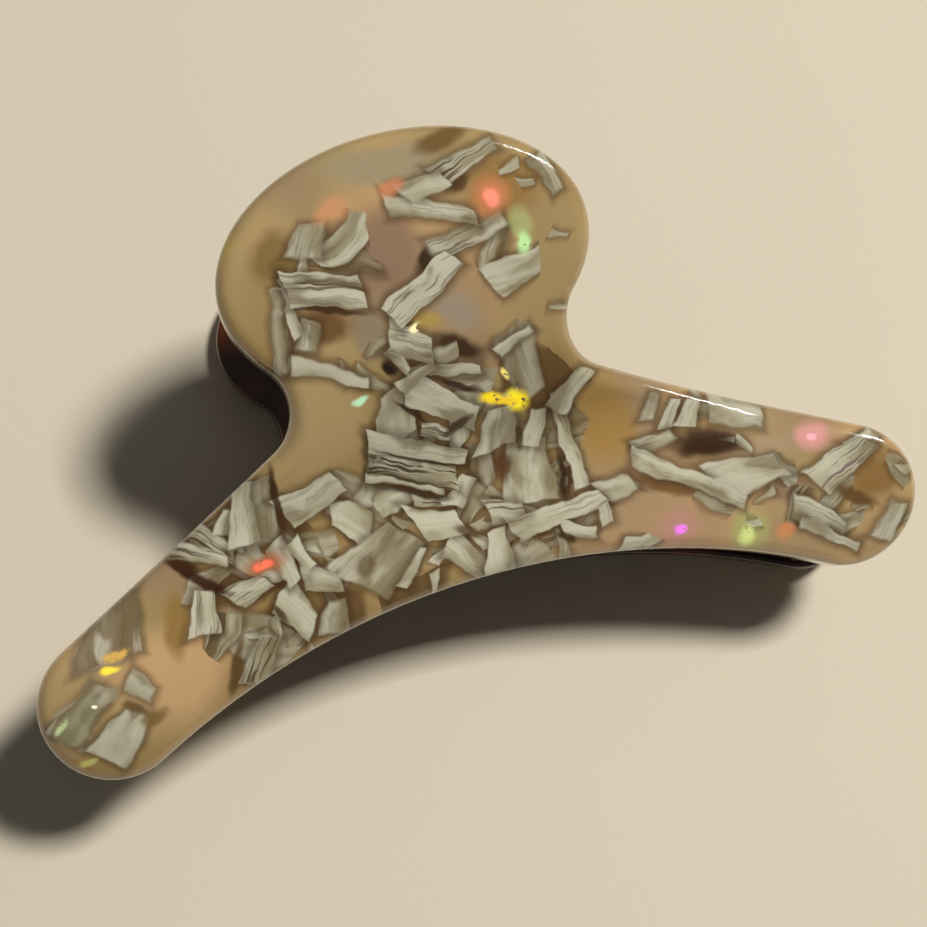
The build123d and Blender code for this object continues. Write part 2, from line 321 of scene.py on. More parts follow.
def make_scattered_flakes():
    """Recipe for one layer of scattered flakes, in millimetres of the plan.

    The plane is cut into cells. Each cell carries one flake, turned by the cell's own random
    angle: a tapering oblong with slanted ends, cut off where the next cell begins, with painted
    light and shade across it and in crumples as if it were folded. It lies over the body colour,
    with a painted shadow round it.
    """
    numbers = ("spacing", "half_length", "half_width", "edge", "cover", "gap", "show", "dark")
    inputs = {"body": "colour", "plan": "vector", "shift": "vector"}
    inputs.update({name: "number" for name in numbers})
    recipe = Recipe("scattered_flakes", inputs, {"body": "colour", "plan": "vector"})
    given = recipe.given
    place = recipe.vector("ADD", given["plan"], given["shift"])
    cell = recipe.node(
        "ShaderNodeTexVoronoi",
        {"voronoi_dimensions": "2D", "feature": "F1"},
        {"Vector": place, "Scale": 1 / given["spacing"]},
    )
    red, green, blue = recipe.parts(cell.outputs["Color"])
    offset = recipe.vector("SUBTRACT", place, cell.outputs["Position"])
    turned = recipe.node(
        "ShaderNodeVectorRotate",
        {"rotation_type": "Z_AXIS"},
        {"Vector": offset, "Angle": red * math.tau},
    )
    along, across, _ = recipe.parts(turned.outputs[0])
    across = across + along * along * (blue - 0.5) * 0.25
    width = (0.4 + 0.9 * green) * given["half_width"] - 0.16 * along
    reach = abs(along + (green - 0.5) * 2.2 * across) - (0.5 + 0.8 * blue) * given["half_length"]
    outside = reach.larger(abs(across) - width)
    centre = recipe.vector("SUBTRACT", cell.outputs["Position"], given["shift"])
    chance = (red * 7.3 + green * 3.1 + blue * 5.7).fraction()
    present = chance < flake_cover(recipe, centre) * given["cover"]
    mask = outside.between(given["edge"], 0 - given["edge"]) * present
    # painted shadow that the flake casts round itself
    shadow_halo = outside.between(0.9, -0.1) * present
    tone = (red * 3.7 + blue * 9.1).fraction()
    # painted light and shade on the flake: crumples lit and shaded, and one side lighter than the
    # other as if it were folded
    crumple_light = recipe.grain(flake_axes(recipe, along, across, red * 40, 0.2, 0.8), 1.0, detail=1.0)
    lines = recipe.grain(flake_axes(recipe, along, across, blue * 40, 0.15, 2.6), 1.5, detail=2.0)
    fold_shade = (across / given["half_width"]).between(-0.9, 0.9)
    light = 0.15 + 0.45 * tone + 0.3 * fold_shade + 1.6 * (crumple_light - 0.5)
    shell = shell_colour(recipe, light)
    shell = recipe.mix(lines.between(0.44, 0.36) * (1 - tone) * 0.8, shell, SHELL_LINES)
    # painted shade on the deepest layer of flakes
    shell = recipe.mix(given["dark"], shell, DEEP_SHELL_SHADE)
    body = recipe.mix(shadow_halo * given["gap"], given["body"], SCATTERED_FLAKE_SHADOW)
    body = recipe.mix(mask * given["show"], body, shell)
    recipe.give(body=body, plan=recipe.pushed(given["plan"], mask))
    return recipe


# Layers of scattered flakes, the deepest first: spacing, half length, half width, how blurred
# their edge is, share of cells with a flake, how dark the painted shadow round them is, how
# clear they are and how much painted shade darkens them.
SCATTERED_LAYERS = [
    (8.0, 4.2, 2.2, 0.60, 0.9, 0.1, 0.80, 1.0),
    (7.0, 4.2, 1.7, 0.30, 1.0, 0.5, 0.60, 0.0),
    (4.0, 2.6, 0.8, 0.18, 1.0, 0.6, 0.80, 0.0),
    (6.4, 4.0, 1.4, 0.12, 0.9, 0.7, 0.95, 0.0),
    (2.3, 1.3, 0.4, 0.10, 0.45, 0.5, 0.90, 0.0),
]

# Flakes of the front plate, in clip axes: middle x and u, half length, half width, turn, slant,
# how blurred their edge is, and how pale and how striped they are.
FRONT_FLAKES = [
    (-9.3, -7.6, 3.4, 2.6, 30, 0.3, 0.25, 0.30, 0.2),
    (-13.5, 15.9, 3.6, 0.5, 80, 0.1, 0.35, 0.45, 0.3),
    (-36.3, -6.8, 3.2, 2.4, 70, 0.4, 0.9, 0.50, 0.2),
    (-41.4, -14.0, 3.2, 1.3, 40, 0.2, 0.9, 0.40, 0.1),
    (6.4, 20.0, 3.8, 0.9, 12, 0.2, 0.40, 0.25, 0.7),
    (-8.6, 23.2, 1.6, 1.3, 60, 0.3, 0.25, 0.50, 0.3),
    (29.5, -3.0, 2.8, 1.3, -30, 0.3, 0.25, 0.60, 0.2),
    (21, -0.2, 1.2, 0.5, 60, 0.2, 0.20, 0.55, 0.2),
    (42, -18, 2.0, 1.0, 50, 0.2, 0.30, 0.50, 0.2),
    (-19.6, 0.2, 3.0, 1.1, 80, 0.2, 0.30, 0.50, 0.2),
    (-11, 14.7, 1.2, 0.8, 60, 0.2, 0.25, 0.50, 0.3),
    (7.4, -3.0, 3.0, 2.2, 78, 0.1, 0.12, 0.60, 0.15),
    (12.0, -1.2, 4.8, 0.6, 93, 0.1, 0.10, 0.60, 0.5),
    (13.4, 3.6, 2.4, 0.8, 40, 0.3, 0.14, 0.60, 0.3),
    (13.2, -8.5, 1.8, 0.5, 95, 0.2, 0.12, 0.70, 0.2),
    (8.9, 1.0, 1.8, 0.9, 60, 0.3, 0.10, 0.65, 0.2),
    (24.8, -1.9, 1.5, 0.7, 57, 0.3, 0.08, 0.75, 0.2),
    (23.0, -1.5, 1.5, 0.55, 57, 0.3, 0.08, 0.75, 0.2),
    (20.6, -3.8, 2.0, 0.6, 5, 0.3, 0.20, 0.55, 0.5),
    (28.7, -9.5, 3.6, 1.5, 0, 0.5, 0.16, 0.65, 0.15),
    (22.8, -8.3, 6.0, 0.75, -37, 0.2, 0.12, 0.70, 0.35),
    (15.4, -7.2, 1.7, 0.9, 0, 0.4, 0.16, 0.80, 0.1),
    (41.2, -9.4, 1.6, 0.8, 20, 0.2, 0.25, 0.60, 0.3),
    (38.4, -10.9, 3.6, 1.35, 22, 0.3, 0.10, 0.60, 0.6),
    (34.8, -15.6, 3.0, 0.9, -40, 0.3, 0.16, 0.60, 0.4),
    (35.5, -17.7, 3.4, 0.4, -38, 0.2, 0.10, 0.75, 0.2),
    (-23.3, -13.8, 2.4, 1.0, 55, 0.2, 0.20, 0.40, 0.9),
    (-15.3, -11.6, 1.4, 1.0, 70, 0.2, 0.20, 0.50, 0.2),
    (-18.8, -10.3, 2.3, 1.5, -60, 0.4, 0.10, 0.75, 0.15),
    (-15.5, -7.9, 2.0, 1.0, -25, 0.4, 0.15, 0.70, 0.2),
    (-25, -1.4, 2.4, 1.0, -45, 0.3, 0.12, 0.40, 0.9),
    (-26.6, -2.1, 2.8, 0.7, -27, 0.2, 0.12, 0.45, 0.9),
    (-23.3, 0.2, 1.1, 0.55, 60, 0.2, 0.12, 0.75, 0.3),
    (-21.3, 0.5, 2.9, 1.1, 77, 0.2, 0.12, 0.80, 0.25),
    (-22.6, -6.9, 1.9, 1.0, 14, 0.5, 0.10, 0.75, 0.6),
    (-18.7, -5.2, 2.2, 0.8, -78, 0.3, 0.10, 0.80, 0.2),
    (-16.8, -4.9, 1.7, 0.65, -70, 0.3, 0.10, 0.85, 0.1),
    (-27.5, -7.7, 2.2, 1.25, 76, 0.1, 0.08, 0.80, 0.55),
    (-14.5, 0.1, 3.2, 1.3, 14, 0.3, 0.08, 0.70, 0.3),
    (-38.2, -17.2, 2.8, 1.55, 38, 0.2, 0.18, 0.80, 0.05),
    (-35.3, -13.2, 1.5, 0.75, -50, 0.3, 0.20, 0.75, 0.05),
    (3.9, -6.4, 1.8, 1.0, -10, 0.3, 0.10, 0.55, 0.8),
    (-1.3, -9.6, 2.3, 1.1, -52, 0.4, 0.10, 0.60, 0.3),
    (2.1, -9.9, 2.0, 1.1, 80, 0.3, 0.08, 0.85, 0.1),
    (-6.6, -9.3, 2.0, 0.35, 48, 0.2, 0.10, 0.80, 0.0),
    (10.5, -10.2, 1.7, 0.65, -20, 0.4, 0.08, 0.85, 0.1),
    (8.9, -7.9, 4.7, 1.0, 6, 0.3, 0.08, 0.70, 0.4),
    (-2.9, -5.8, 2.2, 1.45, -10, 0.6, 0.08, 0.65, 0.1),
    (-3.0, -3.1, 1.8, 0.5, -17, 0.3, 0.10, 0.55, 0.9),
    (0.2, -3.1, 1.7, 0.75, 39, 0.3, 0.08, 0.90, 0.1),
    (-3.9, 0.1, 4.6, 1.35, -25, 0.3, 0.07, 0.45, 1.0),
    (-5.0, -0.9, 3.9, 0.32, -26, 0.2, 0.07, 0.80, 0.2),
    (5.4, 1.8, 2.0, 1.5, 70, 0.5, 0.10, 0.90, 0.3),
    (-4.5, 5.5, 2.6, 1.6, 82, 0.6, 0.06, 0.80, 0.1),
    (-3.1, 1.9, 5.0, 0.75, -23, 0.1, 0.05, 0.85, 0.3),
    (-0.9, 3.0, 1.4, 0.5, -25, 0.2, 0.08, 0.80, 0.9),
    (0.2, 5.5, 3.8, 1.2, -36, 0.3, 0.05, 0.90, 0.2),
    (1.3, 8.5, 3.5, 0.5, -10, 0.2, 0.06, 0.75, 0.2),
    (-1.5, 8.6, 1.9, 0.6, 22, 0.2, 0.06, 0.80, 0.2),
    (-9.8, 11.0, 3.7, 0.6, -27, 0.3, 0.15, 0.80, 0.0),
    (-3.0, 10.6, 1.4, 0.45, -60, 0.2, 0.08, 0.70, 0.2),
    (-1.5, 11.7, 2.2, 1.1, -32, 0.4, 0.08, 0.85, 0.5),
    (8.5, 9.5, 2.0, 0.4, 22, 0.2, 0.14, 0.70, 0.2),
    (-12.0, 17.6, 2.7, 0.4, 91, 0.2, 0.08, 0.70, 0.3),
    (-8.5, 19.4, 3.7, 0.5, -14, 0.2, 0.08, 0.65, 0.6),
    (-8.4, 17.8, 3.7, 0.9, -16, 0.2, 0.05, 0.85, 0.35),
    (7.8, 26.9, 3.2, 0.9, 16, 0.2, 0.20, 0.45, 0.9),
    (15.2, 23.7, 2.0, 0.7, -75, 0.2, 0.20, 0.60, 0.3),
    (3.5, 23.1, 4.3, 0.75, -21, 0.5, 0.12, 0.65, 0.3),
    (3.4, 25.4, 2.0, 0.95, 8, 0.4, 0.15, 0.75, 0.1),
    (0.9, 16.3, 4.1, 1.15, 27, 0.2, 0.05, 0.80, 0.6),
]

# Clouds in the clear acetate of the front plate, the near-black ones painted shade among the
# flakes: middle, half sizes, turn, colour and strength.
FRONT_CLOUDS_AND_SHADE = [
    (-31.5, -13, 6.5, 4.8, 20, (208, 170, 124), 0.9),
    (16.2, -0.8, 3.4, 4.8, 0, (170, 134, 74), 0.95),
    (-2.0, 20.6, 3.8, 4.4, -20, (150, 122, 98), 0.95),
    (0.3, 28.3, 7.0, 2.0, -10, (162, 151, 122), 0.8),
    (3.6, 13.6, 2.6, 1.8, -30, (164, 150, 130), 0.9),
    (-9.5, -1.3, 2.6, 2.3, 0, (152, 123, 102), 0.9),
    (20, -12.6, 6.5, 3.2, -10, (180, 148, 112), 0.9),
    (12.8, 13.5, 6.5, 5.5, 0, (170, 146, 102), 0.85),
    (-12, 6.8, 5.5, 4.2, -10, (184, 159, 114), 0.9),
    (-5.2, 13.6, 1.8, 2.8, 10, (150, 135, 110), 0.9),
    (-9.1, 15.2, 2.8, 1.6, -10, (110, 78, 44), 0.9),
    (-12.2, 22.4, 2.8, 2.6, 70, (126, 100, 54), 0.8),
    (10.5, 23.6, 3.8, 3.2, 0, (156, 120, 66), 0.9),
    (6.6, 24.9, 1.4, 0.9, 30, (92, 66, 34), 0.9),
    (27.3, -14.8, 2.2, 2.4, 0, (176, 176, 112), 0.85),
    (32.3, -11.9, 2.4, 1.6, -20, (142, 116, 92), 0.85),
    (25.6, -5.3, 4.2, 1.9, -10, (62, 38, 16), 0.95),
    (20.1, -8.2, 4.2, 0.9, -32, (112, 80, 44), 0.9),
    (41.5, -13.1, 3.4, 2.4, 20, (138, 105, 56), 0.9),
    (6.2, 29.4, 3.0, 1.0, 10, (104, 74, 36), 0.8),
    (2.3, 18.9, 2.2, 0.9, 30, (56, 38, 18), 0.95),
    (3.0, 10.3, 2.8, 1.1, -24, (58, 36, 14), 0.95),
    (-17.9, 0.3, 4.0, 0.6, 88, (70, 46, 20), 0.95),
    (-26.5, -5.0, 3.2, 0.65, -40, (62, 34, 12), 0.95),
    (-28.3, -2.9, 1.8, 0.7, -30, (72, 42, 18), 0.95),
    (-30.4, -8.2, 3.4, 1.1, 76, (150, 118, 62), 0.9),
    (-22.6, -3.8, 1.4, 1.4, 0, (104, 80, 48), 0.9),
    (-25.7, -13.6, 3.2, 0.65, 62, (104, 78, 40), 0.9),
    (10.8, -4.3, 2.8, 0.7, 78, (74, 52, 26), 0.95),
    (-4.2, -2.0, 4.0, 0.55, -25, (70, 48, 22), 0.95),
    (4.0, -1.8, 1.4, 1.8, 70, (122, 88, 52), 0.9),
    (-0.4, -7.1, 1.7, 0.8, -30, (98, 78, 50), 0.9),
    (0.4, 13.2, 1.6, 0.9, -10, (186, 158, 84), 0.9),
    (-3.8, 10.1, 1.0, 0.6, -50, (40, 26, 12), 0.95),
]

# Painted shade in the dark gaps between and in the flakes of the front plate: middle, half
# sizes, turn, colour.
FRONT_CREVICE_SHADE = [
    (-3.2, 1.1, 4.4, 0.24, -24, (58, 40, 20), 0.9),
    (-4.6, 0.5, 2.8, 0.20, -26, (54, 38, 20), 0.9),
    (-5.2, -0.4, 3.0, 0.18, -26, (62, 44, 24), 0.9),
    (-4.3, -1.9, 3.8, 0.45, -25, (66, 44, 22), 0.95),
    (2.1, 6.8, 2.4, 0.45, -30, (58, 32, 16), 0.95),
    (-4.1, 9.9, 1.0, 0.45, -55, (36, 24, 12), 0.95),
    (-2.9, 5.5, 2.2, 0.32, -50, (60, 42, 22), 0.95),
    (1.5, 3.1, 1.8, 0.45, 20, (66, 46, 24), 0.9),
    (7.2, 0.4, 1.4, 0.35, 80, (76, 56, 32), 0.9),
    (5.3, -1.8, 1.8, 0.6, 75, (92, 62, 36), 0.9),
    (10.4, -4.3, 2.6, 0.35, 80, (56, 38, 18), 0.95),
    (8.9, -10.5, 1.1, 0.45, -40, (66, 46, 24), 0.9),
    (-0.4, -7.1, 1.6, 0.65, -30, (90, 70, 44), 0.9),
    (-10.9, -7.6, 1.5, 1.1, 60, (98, 78, 46), 0.8),
    (-17.9, 0.3, 3.8, 0.45, 86, (70, 46, 20), 0.95),
    (-26.5, -5.0, 3.1, 0.55, -40, (58, 30, 10), 0.95),
    (-28.3, -2.9, 1.7, 0.55, -30, (66, 38, 16), 0.95),
    (-25.7, -13.6, 3.0, 0.5, 62, (98, 74, 38), 0.9),
    (-20.4, -10.1, 1.4, 0.4, -70, (80, 62, 36), 0.9),
    (-8.6, 18.7, 3.4, 0.16, -15, (96, 76, 46), 0.8),
    (-8.4, 16.5, 3.4, 0.35, -16, (70, 48, 24), 0.95),
    (23.9, -1.7, 1.3, 0.14, 57, (88, 64, 38), 0.9),
    (38.5, -11.5, 3.0, 0.2, 21, (122, 104, 100), 0.8),
    (38.9, -14.6, 2.8, 0.7, -35, (102, 74, 38), 0.9),
    (26.0, -5.6, 3.2, 1.2, -10, (56, 34, 14), 0.9),
    (-36.4, -14.8, 1.6, 0.5, -38, (112, 88, 54), 0.9),
    (-34.6, -16.3, 1.5, 0.7, 10, (128, 102, 56), 0.8),
]

# Painted glows where foil lies deep in the front plate, in the colour and as emission though
# the plate is no lamp: middle, half sizes, turn, colour, strength.
FRONT_GLOWS = [
    (9.5, 23.2, 2.0, 1.9, 60, (206, 132, 86), 0.85),
    (-5.8, 25.4, 2.0, 1.2, 20, (216, 152, 108), 0.7),
    (0.4, 26.2, 1.6, 0.8, 14, (216, 138, 98), 0.7),
    (-17.6, 24.5, 2.6, 1.6, 40, (190, 164, 84), 0.5),
    (36.4, -7.5, 2.0, 1.6, 0, (226, 156, 152), 0.8),
    (20.4, -12.6, 2.2, 1.7, 0, (188, 134, 128), 0.6),
    (31.1, -16.0, 1.2, 0.9, 0, (210, 138, 86), 0.8),
    (-20.4, -4.7, 2.2, 1.1, 0, (166, 98, 62), 0.85),
    (11.6, 19.6, 1.2, 1.8, 0, (178, 190, 124), 0.6),
    (-41.8, -14.6, 3.0, 1.4, 40, (130, 130, 98), 0.7),
]

# Small leaves of iridescent foil in the front plate, drawn as painted glints that also glow
# as emission: middle, half sizes, turn and colour.
FRONT_GLINTS = [
    (5.2, 4.8, 1.5, 0.7, -8, (255, 222, 30)),
    (7.7, 4.0, 1.3, 1.0, -35, (255, 232, 40)),
    (6.5, 4.3, 1.4, 0.4, -14, (248, 206, 50)),
    (7.0, 6.8, 0.8, 0.3, -60, (250, 228, 130)),
    (-37.8, -10.6, 0.95, 0.45, 0, (252, 226, 70)),
    (-36.8, -9.4, 1.3, 0.5, 10, (204, 166, 84)),
    (-40.0, -13.6, 0.25, 0.22, 0, (250, 246, 214)),
    (9.5, 23.0, 0.8, 1.1, 0, (250, 146, 122)),
    (11.4, 18.1, 1.2, 0.9, 70, (184, 226, 158)),
    (-7.6, 7.9, 0.8, 0.4, 0, (184, 226, 186)),
    (-20.7, -4.7, 1.1, 0.6, 0, (255, 118, 88)),
    (20.4, -12.8, 0.6, 0.5, 0, (238, 124, 240)),
    (26.9, -15.1, 1.2, 0.9, 60, (196, 208, 130)),
    (36.4, -7.6, 0.6, 0.45, 0, (240, 168, 176)),
    (-0.7, 12.8, 0.6, 0.45, 0, (255, 244, 190)),
    (-43.5, -14.8, 1.1, 0.3, 45, (172, 184, 138)),
    (-42.2, -18.8, 1.0, 0.4, 5, (164, 160, 92)),
]


def make_spot():
    """Recipe for one oval spot of colour at a given place; it hands on how much they cover."""
    carried = {"body": "colour", "plan": "vector", "cover": "number"}
    inputs = {**carried, "middle": "vector", "turn": "vector", "size": "vector"}
    inputs.update({"colour": "colour", "strength": "number"})
    recipe = Recipe("colour_spot", inputs, carried)
    given = recipe.given
    local = recipe.seen_from(given["plan"], given["middle"], given["turn"], given["size"])
    mask = recipe.length(local).between(1.3, 0.5) * given["strength"]
    recipe.give(
        body=recipe.mix(mask, given["body"], given["colour"]),
        plan=recipe.pushed(given["plan"], mask),
        cover=given["cover"].larger(mask),
    )
    return recipe


def lay_spots(finish, body, plan, spots):
    """Lays spots over the body colour: (x, u, half length, half width, turn, colour, strength)."""
    carried = {"body": body, "plan": plan, "cover": 0.0}
    for x, u, half_length, half_width, turn, colour, strength in spots:
        carried = colour_spot.use(
            finish,
            **carried,
            middle=(x, u, 0),
            turn=(0, 0, math.radians(turn)),
            size=(half_length, half_width, 1),
            colour=tint(*colour),
            strength=strength,
        )
    return carried["body"], carried["plan"], carried["cover"]


def make_placed_flake():
    """Recipe for one flake at a given place: an oblong with slanted ends over a painted shadow,
    with painted shade across it as if it were folded.

    Beside the body colour it hands on the flake's own axes, how much shell covers the plan and
    how striped it is, so that one grain can be drawn along all the flakes at the end.
    """
    numbers = ("half_length", "half_width", "slant", "blur", "light", "striped")
    carried = {"body": "colour", "plan": "vector", "lanes": "vector"}
    carried.update({"cover": "number", "stripes": "number"})
    given_too = {"middle": "vector", "turn": "vector", "key": "vector"}
    inputs = {**carried, **given_too, **{name: "number" for name in numbers}}
    recipe = Recipe("placed_flake", inputs, carried)
    given = recipe.given
    local = recipe.seen_from(given["plan"], given["middle"], given["turn"], (1, 1, 1))
    along, across, _ = recipe.parts(local)
    ends = abs(along + given["slant"] * across) - given["half_length"]
    width = given["half_width"] * (1.05 - 0.25 * along / given["half_length"])
    outside = ends.larger(abs(across) - width)
    # painted shadow that the flake casts round itself
    gap = outside.between(1.1, -0.1) * 0.7
    body = recipe.mix(gap, given["body"], PLACED_FLAKE_SHADOW)
    mask = outside.between(given["blur"] + 0.07, 0 - given["blur"])
    moved = recipe.vector("ADD", local, given["key"])
    sockets = {0: mask > 0.5, 4: given["lanes"], 5: moved}
    lanes = recipe.node("ShaderNodeMix", {"data_type": "VECTOR"}, sockets).outputs[1]
    # painted shade: one side of the flake lighter than the other, as if it were folded
    fold_shade = (across / given["half_width"]).between(-1.0, 1.0)
    shell = shell_colour(recipe, 0.1 + 0.7 * given["light"] + 0.3 * fold_shade)
    recipe.give(
        body=recipe.mix(mask * (1.0 - 0.8 * given["blur"]), body, shell),
        plan=recipe.pushed(given["plan"], mask),
        lanes=lanes,
        cover=given["cover"].larger(mask),
        stripes=(given["stripes"] * (1 - mask)).larger(mask * given["striped"]),
    )
    return recipe


def lay_front_flakes(finish, body, plan):
    """Lays the placed flakes over the body colour and draws their grain, with painted shade and
    painted highlight on their crumples.
    """
    recipe = make_placed_flake()
    carried = {"body": body, "plan": plan, "lanes": plan, "cover": 0.0, "stripes": 0.0}
    for x, u, half_length, half_width, turn, slant, blur, light, striped in FRONT_FLAKES:
        carried = recipe.use(
            finish,
            **carried,
            middle=(x, u, 0),
            turn=(0, 0, math.radians(turn)),
            key=(0, 0, 3.1 * x + 7.7 * u),
            half_length=half_length,
            half_width=half_width,
            slant=slant,
            blur=blur,
            light=light,
            striped=striped,
        )
    body, cover = carried["body"], carried["cover"]
    along, across, key = finish.parts(carried["lanes"])
    crumple_light = finish.grain(flake_axes(finish, along, across, key, 0.14, 0.5), 1.0, detail=1.0)
    lines = finish.grain(flake_axes(finish, along, across, key, 0.1, 2.4), 1.4, detail=2.0)
    # painted shade and painted highlight on the crumples of the flakes
    body = finish.mix(cover * crumple_light.between(0.50, 0.32) * 0.65, body, CREASE_SHADE)
    body = finish.mix(cover * crumple_light.between(0.50, 0.68) * 0.75, body, CREASE_SHINE)
    body = finish.mix(carried["stripes"] * lines.between(0.48, 0.38) * 0.9, body, SHELL_STRIPES)
    return body, carried["plan"]


scattered_flakes = make_scattered_flakes()
colour_spot = make_spot()


def make_shell_acetate(name, side, shift, density, placed):
    """Tan acetate with pale shell flakes set in it at several depths.

    `side` is -1 for the rear jaw, `shift` moves its random pattern, `density` is the share of
    scattered flakes that is kept, and `placed` adds the flakes, clouds, painted shade and foil
    listed above, the foil as painted glints and glow.
    """
    finish = Finish(
        name,
        Roughness=0.16,
        Coat_Roughness=0.04,
        Coat_IOR=1.5,
        IOR=1.49,
        Subsurface_Weight=0.15,
        Subsurface_Radius=(0.0016, 0.0011, 0.0007),
        Subsurface_Scale=1.0,
        # strength of the painted glow of the foil
        Emission_Strength=0.3 if placed else 0.0,
    )
    upright = finish.clip_axes(scale=(side, 1, 0.35 * side), shift=(shift[0], shift[1], 0))
    x, u, _ = finish.parts(upright)
    flat = finish.node("ShaderNodeCombineXYZ", None, {0: x, 1: u}).outputs[0]
    wobble = finish.noise(flat, 0.3, detail=2.0, roughness=0.5).outputs[1]
    wobble = finish.stretched(finish.vector("SUBTRACT", wobble, (0.5, 0.5, 0.5)), 1.5)
    plan = finish.vector("ADD", flat, wobble)
    # clear acetate between the flakes
    clouds = finish.grain(upright, 0.06, detail=1.0, distortion=0.5)
    blush = finish.grain(upright, 0.085, detail=1.0)
    body = finish.ramp(
        clouds,
        [
            (0.30, tint(140, 114, 70)),
            (0.44, tint(163, 137, 90)),
            (0.56, tint(178, 153, 106)),
            (0.70, tint(194, 160, 114)),
        ],
    )
    body = finish.mix(blush.between(0.52, 0.72) * 0.6, body, tint(160, 134, 108))
    if placed:
        # clouds of the acetate, the near-black ones painted shade among the flakes
        body, plan, _ = lay_spots(finish, body, plan, FRONT_CLOUDS_AND_SHADE)
    carried = {"body": body, "plan": plan}
    for number, layer in enumerate(SCATTERED_LAYERS):
        spacing, half_length, half_width, edge, cover, gap, show, dark = layer
        carried = scattered_flakes.use(
            finish,
            **carried,
            shift=(31.7 * number + 3.1, 17.3 * number - 5.9, 0),
            spacing=spacing,
            half_length=half_length,
            half_width=half_width,
            edge=edge,
            cover=cover * density,
            gap=gap,
            show=show,
            dark=dark,
        )
    body, plan = carried["body"], carried["plan"]
    if placed:
        body, plan = lay_front_flakes(finish, body, plan)
        # painted shade in the gaps between the flakes
        body, plan, _ = lay_spots(finish, body, plan, FRONT_CREVICE_SHADE)
        # painted glows and painted glints of the foil, in the colour and as emission
        body, plan, glow = lay_spots(finish, body, plan, FRONT_GLOWS)
        speck = finish.grain(flat, 1.5, detail=2.0, roughness=0.6).between(0.3, 0.44)
        glints = [(*glint, speck) for glint in FRONT_GLINTS]
        body, plan, glint = lay_spots(finish, body, plan, glints)
        # painted glow: glows and glints are drawn as emission, though the plate is no lamp
        shine = (glow * 0.35).larger(glint)
        finish.connect(Emission_Color=finish.mix(shine, BLACK, body))
    scuffs = finish.grain(finish.place, 60.0, detail=5.0, roughness=0.75)
    finish.connect(
        Base_Color=body,
        Roughness=0.14 + 0.10 * scuffs.between(0.45, 0.75),
        Coat_Weight=0.75 - 0.25 * scuffs.between(0.5, 0.8),
        Normal=finish.bump(finish.grain(finish.place, 140.0, detail=2.0), 0.00004, 0.35),
    )
    return finish.material


def make_dark_amber(name, scale, satin):
    """Dark amber acetate: near-black brown with cloudy amber veins."""
    finish = Finish(
        name,
        Roughness=0.2,
        Coat_Roughness=0.06,
        IOR=1.49,
        Subsurface_Weight=0.12,
        Subsurface_Radius=(0.0025, 0.0010, 0.0004),
        Subsurface_Scale=1.0,
    )
    axes = finish.clip_axes()
    clouds = finish.grain(axes, scale, detail=4.0, roughness=0.55, distortion=1.4)
    veins = finish.grain(axes, scale * 2.7, detail=5.0, roughness=0.65, distortion=2.2)
    body = finish.ramp(
        clouds,
        [
            (0.34, tint(34, 18, 9)),
            (0.50, tint(62, 32, 14)),
            (0.62, tint(108, 54, 19)),
            (0.76, tint(156, 82, 26)),
        ],
    )
    body = finish.mix(veins.between(0.55, 0.75) * 0.6, body, tint(38, 20, 12))
    polish = finish.grain(finish.place, 180.0, detail=5.0, roughness=0.7)
    fine = finish.grain(finish.place, 1500.0, detail=3.0)
    finish.connect(
        Base_Color=body,
        Roughness=satin + 0.12 * polish.between(0.4, 0.75) + 0.05 * fine,
        Coat_Weight=0.55 - 0.3 * polish.between(0.5, 0.8),
        Normal=finish.bump(polish, 0.00003, 0.4),
    )
    return finish.material


def make_steel(name, colour, stain, grain_scale, rough, relief):
    """Bare steel: drawn, rolled or turned marks along one way, with faint stains."""
    finish = Finish(name, Metallic=1.0, Roughness=rough)
    axes = finish.clip_axes(scale=grain_scale)
    marks = finish.grain(axes, 1.0, detail=5.0, roughness=0.7)
    stains = finish.grain(finish.clip_axes(), 0.35, detail=4.0, roughness=0.6, distortion=0.8)
    body = finish.mix(marks.between(0.3, 0.7), [c * 0.82 for c in colour[:3]] + [1.0], colour)
    body = finish.mix(stains.between(0.52, 0.78) * 0.45, body, stain)
    finish.connect(
        Base_Color=body,
        Roughness=rough - 0.08 + 0.2 * marks.between(0.25, 0.75) + 0.12 * stains.between(0.5, 0.8),
        Normal=finish.bump(marks, relief, 0.6),
    )
    return finish.material


def make_bush_plastic():
    """Off-white acetal with faint moulding flow and handling grime."""
    finish = Finish(
        "bush_acetal",
        Roughness=0.4,
        IOR=1.48,
        Subsurface_Weight=0.15,
        Subsurface_Radius=(0.001, 0.0009, 0.0007),
        Subsurface_Scale=1.0,
    )
    flow = finish.grain(finish.clip_axes(scale=(0.3, 1, 1)), 0.9, detail=4.0, distortion=0.7)
    grime = finish.grain(finish.clip_axes(), 1.7, detail=5.0, roughness=0.7)
    body = finish.mix(flow, tint(224, 219, 204), tint(236, 233, 222))
    body = finish.mix(grime.between(0.55, 0.8) * 0.5, body, tint(178, 166, 140))
    finish.connect(
        Base_Color=body,
        Roughness=0.32 + 0.2 * grime,
        Normal=finish.bump(flow, 0.00002, 0.4),
    )
    return finish.material


def dress(materials):
    """Gives each solid its finish."""
    for node, material in materials.items():
        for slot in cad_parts[node].material_slots:
            slot.material = material


